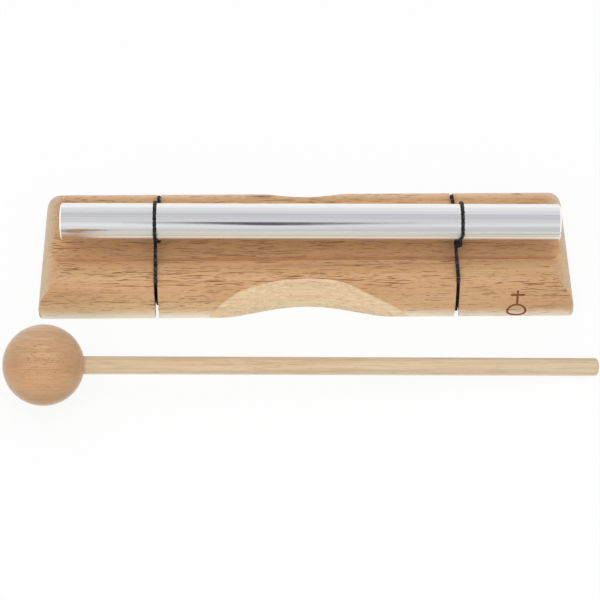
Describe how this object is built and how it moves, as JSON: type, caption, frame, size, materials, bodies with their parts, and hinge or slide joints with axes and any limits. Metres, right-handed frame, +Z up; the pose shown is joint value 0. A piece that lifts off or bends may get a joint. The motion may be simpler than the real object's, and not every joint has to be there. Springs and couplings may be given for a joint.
{
  "type": "chime bar",
  "caption": "Aluminium tone rod held over a wooden base by elastic cord loops, with a ball-headed wooden mallet lying in front of it.",
  "frame": {"origin": "middle of the base block's flat underside, on the table", "axes": "+X along the base and the rod, to the right in the picture; +Y to the back, away from the mallet; +Z up"},
  "size_m": [0.2505, 0.1156, 0.0395],
  "materials": {
    "base_wood": "bare sanded rubberwood, satin",
    "rod_metal": "polished along its length",
    "cord_black": "braided sleeve over elastic",
    "mallet_wood": "pale turned wood, fine sanded"
  },
  "bodies": {
    "base": {"base_block": "base_wood", "left_cord": "cord_black", "right_cord": "cord_black"},
    "rod": {"tone_rod": "rod_metal"},
    "mallet": {"mallet_head": "mallet_wood", "mallet_handle": "mallet_wood"}
  },
  "joints": [
    {"name": "rod_slide", "type": "slide", "parent": "base", "child": "rod", "axis": [0.9999, -0.011, 0], "range_m": [-0.008, 0.008]},
    {"name": "mallet_lift", "type": "slide", "parent": "base", "child": "mallet", "axis": [0, 0, 1], "range_m": [0, 0.1]}
  ]
}
